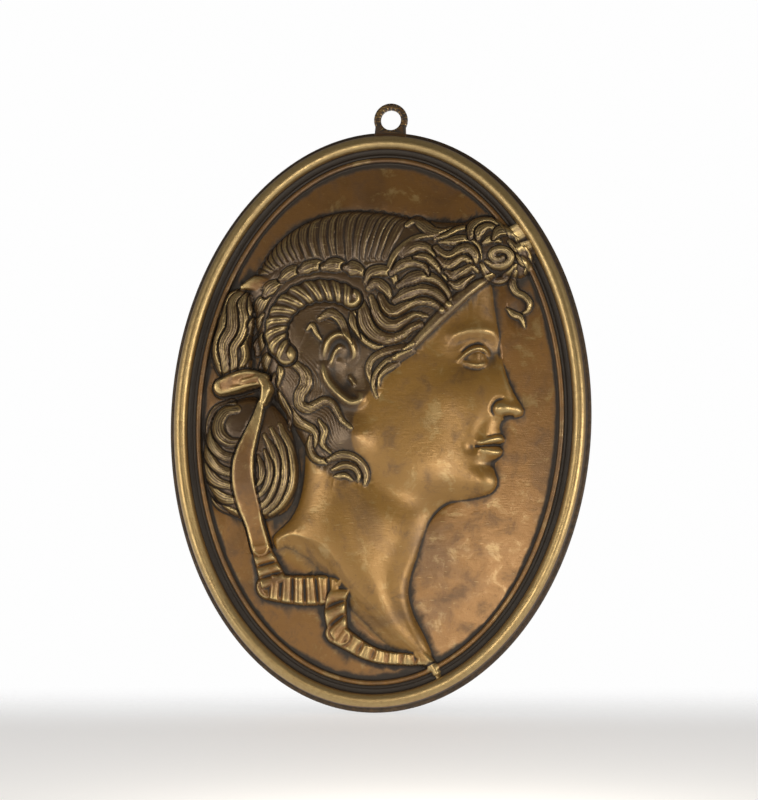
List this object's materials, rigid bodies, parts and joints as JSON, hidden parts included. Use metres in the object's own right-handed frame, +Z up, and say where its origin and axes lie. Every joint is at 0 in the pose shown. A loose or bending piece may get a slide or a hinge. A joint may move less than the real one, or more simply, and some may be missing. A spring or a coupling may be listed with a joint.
{
  "type": "relief plaque",
  "caption": "Oval cast brass wall plaque with a moulded rim, a classical lady's head in profile in low relief, and a flat hanging eye cast on top.",
  "frame": {"origin": "centre of the hanging eye's hole, in the wall plane of the flat back", "axes": "+Z up along the oval's long axis, +Y into the wall, +X to the right seen from the front; the relief faces -Y"},
  "size_m": [0.174, 0.0141, 0.2523],
  "materials": {
    "antique_brass": "aged cast brass: rubbed golden ridges and rim, mottled brown patina on the flats, near-black dirt in the recesses"
  },
  "bodies": {
    "root": {"relief_plaque": "antique_brass"}
  },
  "joints": []
}
